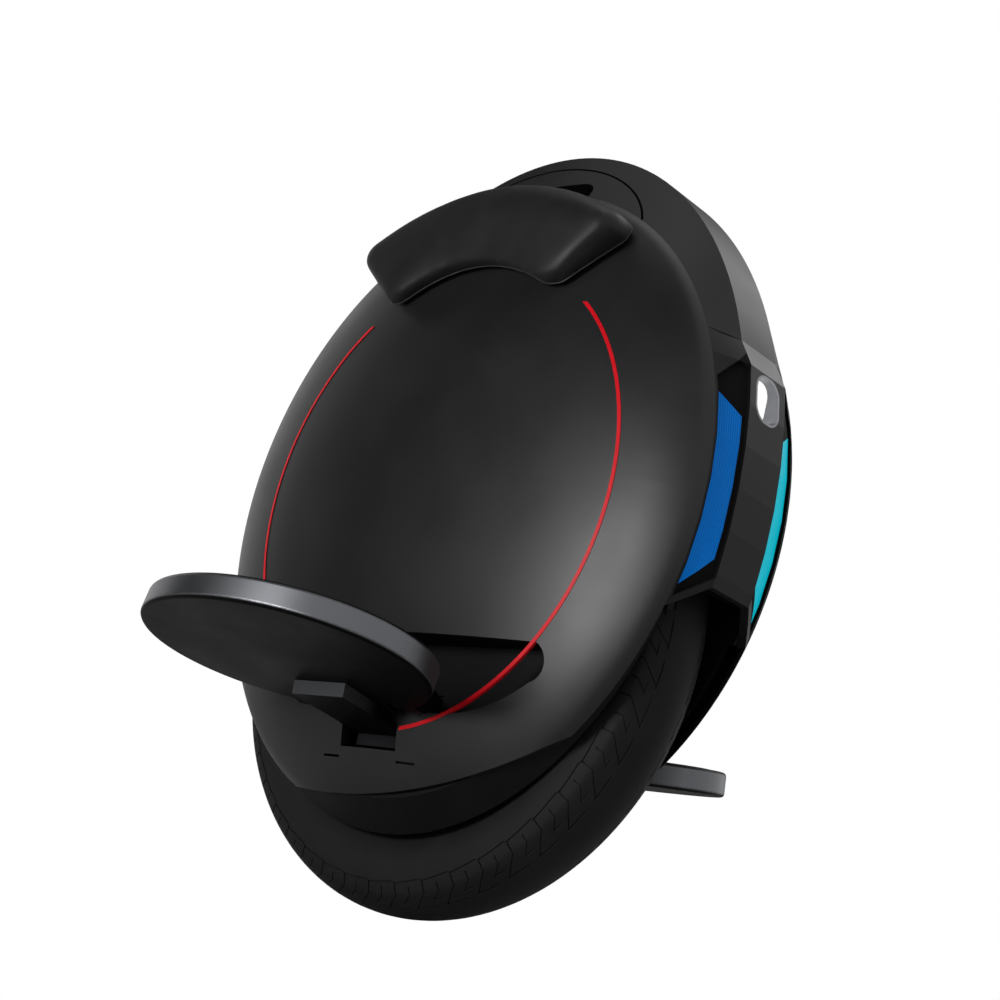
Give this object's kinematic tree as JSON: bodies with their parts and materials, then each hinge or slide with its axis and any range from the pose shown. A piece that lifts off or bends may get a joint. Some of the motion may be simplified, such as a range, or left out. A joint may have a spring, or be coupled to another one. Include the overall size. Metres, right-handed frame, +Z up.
{
  "type": "electric unicycle",
  "caption": "Self-balancing electric unicycle: a hub-motor wheel inside oval side shells, with folding pedals, soft leg pads, a carry handle, lights and a capped charge socket.",
  "frame": {"origin": "point where the tyre touches the ground, below the axle's middle", "axes": "+X forward, towards the headlight; +Y left, along the axle; +Z up"},
  "size_m": [0.4066, 0.4248, 0.5059],
  "materials": {
    "battery_wrap": "satin",
    "bearing_steel": "polished",
    "black_plastic": "matte",
    "blue_lens": "polished",
    "board": "satin",
    "bracket_alloy": "satin",
    "button_plastic": "satin",
    "cable_rubber": "matte",
    "cap_rubber": "matte",
    "clear_lens": "polished",
    "copper_wire": "satin",
    "core_steel": "satin",
    "fastener_steel": "satin",
    "magnet": "satin",
    "pad_skin": "matte",
    "pedal_metal": "satin",
    "red_lens": "polished",
    "red_plastic": "satin",
    "reflector_chrome": "polished",
    "rim_alloy": "satin",
    "shell_plastic": "satin",
    "spine_plastic": "satin",
    "tread_rubber": "matte",
    "tube_rubber": "matte",
    "tyre_rubber": "matte",
    "valve_brass": "satin"
  },
  "bodies": {
    "chassis": {"accent_strip_left": "red_plastic", "accent_strip_right": "red_plastic", "axle": "bearing_steel", "axle_nuts": "fastener_steel", "battery_pack_left": "battery_wrap", "battery_pack_right": "battery_wrap", "bracket_screws": "fastener_steel", "button_housing": "black_plastic", "button_switch": "black_plastic", "cap_pin": "fastener_steel", "charge_socket": "black_plastic", "controller_board": "board", "front_bumper": "black_plastic", "handle_insert": "black_plastic", "headlight_lens": "clear_lens", "headlight_reflector": "reflector_chrome", "heat_sink": "rim_alloy", "inner_shell_left": "black_plastic", "inner_shell_right": "black_plastic", "led_boards": "board", "leg_pad_left": "pad_skin", "leg_pad_right": "pad_skin", "light_strip_front_left": "blue_lens", "light_strip_front_right": "blue_lens", "light_strip_rear_left": "blue_lens", "light_strip_rear_right": "blue_lens", "motor_cable": "cable_rubber", "pedal_bracket_left": "bracket_alloy", "pedal_bracket_right": "bracket_alloy", "pedal_hinge_pin_left": "bearing_steel", "pedal_hinge_pin_right": "bearing_steel", "pedal_recess_left": "black_plastic", "pedal_recess_right": "black_plastic", "rear_bumper": "black_plastic", "side_shell_left": "shell_plastic", "side_shell_right": "shell_plastic", "spine_cover": "spine_plastic", "stator_core": "core_steel", "stator_hub": "rim_alloy", "stator_windings": "copper_wire", "tail_light_lens": "red_lens", "wheel_arch": "black_plastic"},
    "wheel": {"tyre": "tyre_rubber", "inner_tube": "tube_rubber", "wheel_rim": "rim_alloy", "rotor_magnets": "magnet", "motor_cover_left": "rim_alloy", "motor_cover_right": "rim_alloy", "hub_bearing_left": "bearing_steel", "hub_bearing_right": "bearing_steel", "motor_cover_screws": "fastener_steel", "valve_stem": "valve_brass"},
    "pedal_left": {"pedal_plate_left": "pedal_metal", "pedal_tread_left": "tread_rubber", "pedal_magnet_left": "magnet"},
    "pedal_right": {"pedal_plate_right": "pedal_metal", "pedal_tread_right": "tread_rubber", "pedal_magnet_right": "magnet"},
    "button": {"power_button": "button_plastic"},
    "cap": {"charge_cap": "cap_rubber"}
  },
  "joints": [
    {"name": "wheel_spin", "type": "hinge", "parent": "chassis", "child": "wheel", "pos_m": [0, 0, 0.178], "axis": [0, 1, 0], "continuous": true},
    {"name": "pedal_right_fold", "type": "hinge", "parent": "chassis", "child": "pedal_right", "pos_m": [0, -0.072, 0.121], "axis": [-1, 0, 0], "range_deg": [0, 72]},
    {"name": "pedal_left_fold", "type": "hinge", "parent": "chassis", "child": "pedal_left", "pos_m": [0, 0.072, 0.121], "axis": [1, 0, 0], "range_deg": [0, 72]},
    {"name": "power_button_press", "type": "slide", "parent": "chassis", "child": "button", "axis": [0.6713, 0, -0.7412], "range_m": [0, 0.0015], "stiffness_N_per_m": 400},
    {"name": "charge_cap_hinge", "type": "hinge", "parent": "chassis", "child": "cap", "pos_m": [-0.16172, 0, 0.40985], "axis": [0, -1, 0], "range_deg": [0, 100]}
  ]
}
